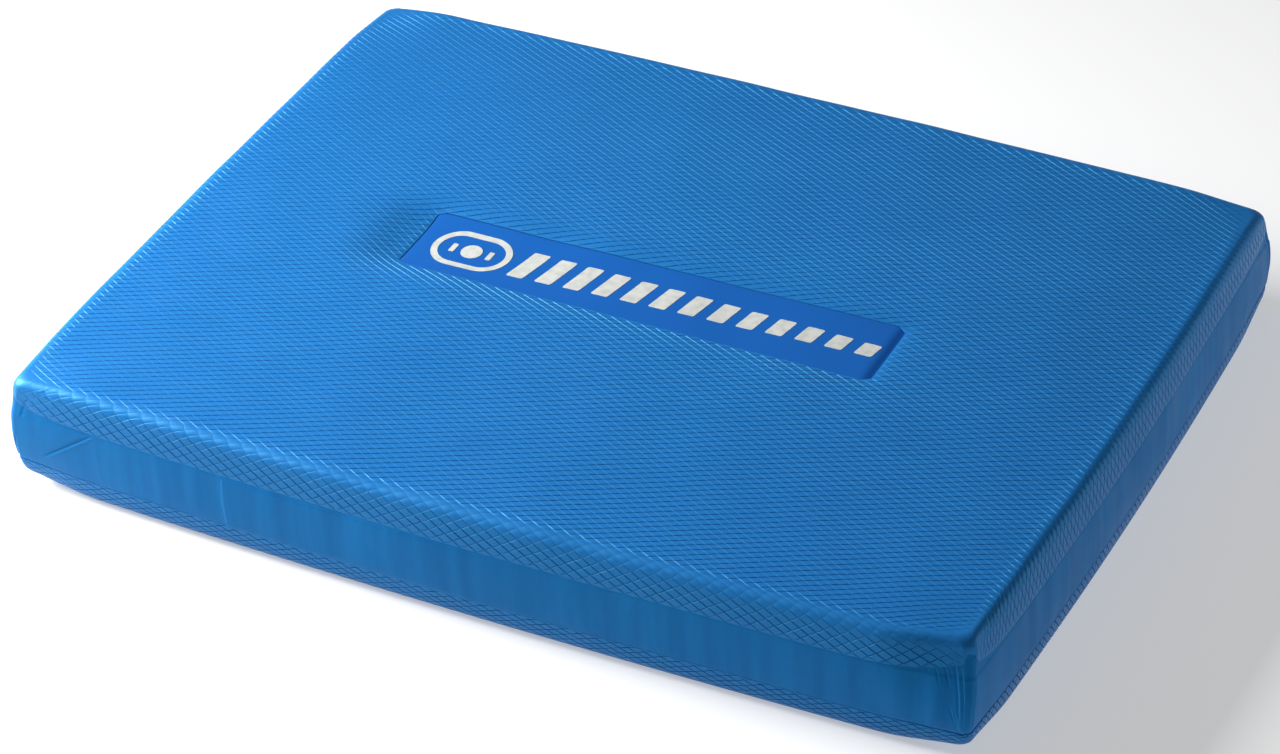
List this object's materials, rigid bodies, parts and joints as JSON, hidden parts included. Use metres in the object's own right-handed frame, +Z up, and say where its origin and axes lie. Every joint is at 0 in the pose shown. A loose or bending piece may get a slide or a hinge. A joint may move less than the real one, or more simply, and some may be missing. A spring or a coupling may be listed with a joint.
{
  "type": "balance pad",
  "caption": "Soft rectangular foam balance pad skinned in diamond-embossed film, with a smooth strip round its sides and a pressed-in printed label patch.",
  "frame": {"origin": "centre of the pad's footprint on the surface it lies on, at the underside", "axes": "+X along the long side, in the direction the label reads, +Z up through the thickness, -Y towards the front edge that the label faces"},
  "size_m": [0.48, 0.36, 0.06],
  "materials": {
    "foam": "matte",
    "embossed_film": "satin",
    "side_film": "satin",
    "label_film": "satin",
    "print_ink": "matte"
  },
  "bodies": {
    "root": {"foam_core": "foam", "top_cover": "embossed_film", "side_band": "side_film", "bottom_cover": "embossed_film", "label_panel": "label_film", "label_print": "print_ink"}
  },
  "joints": []
}
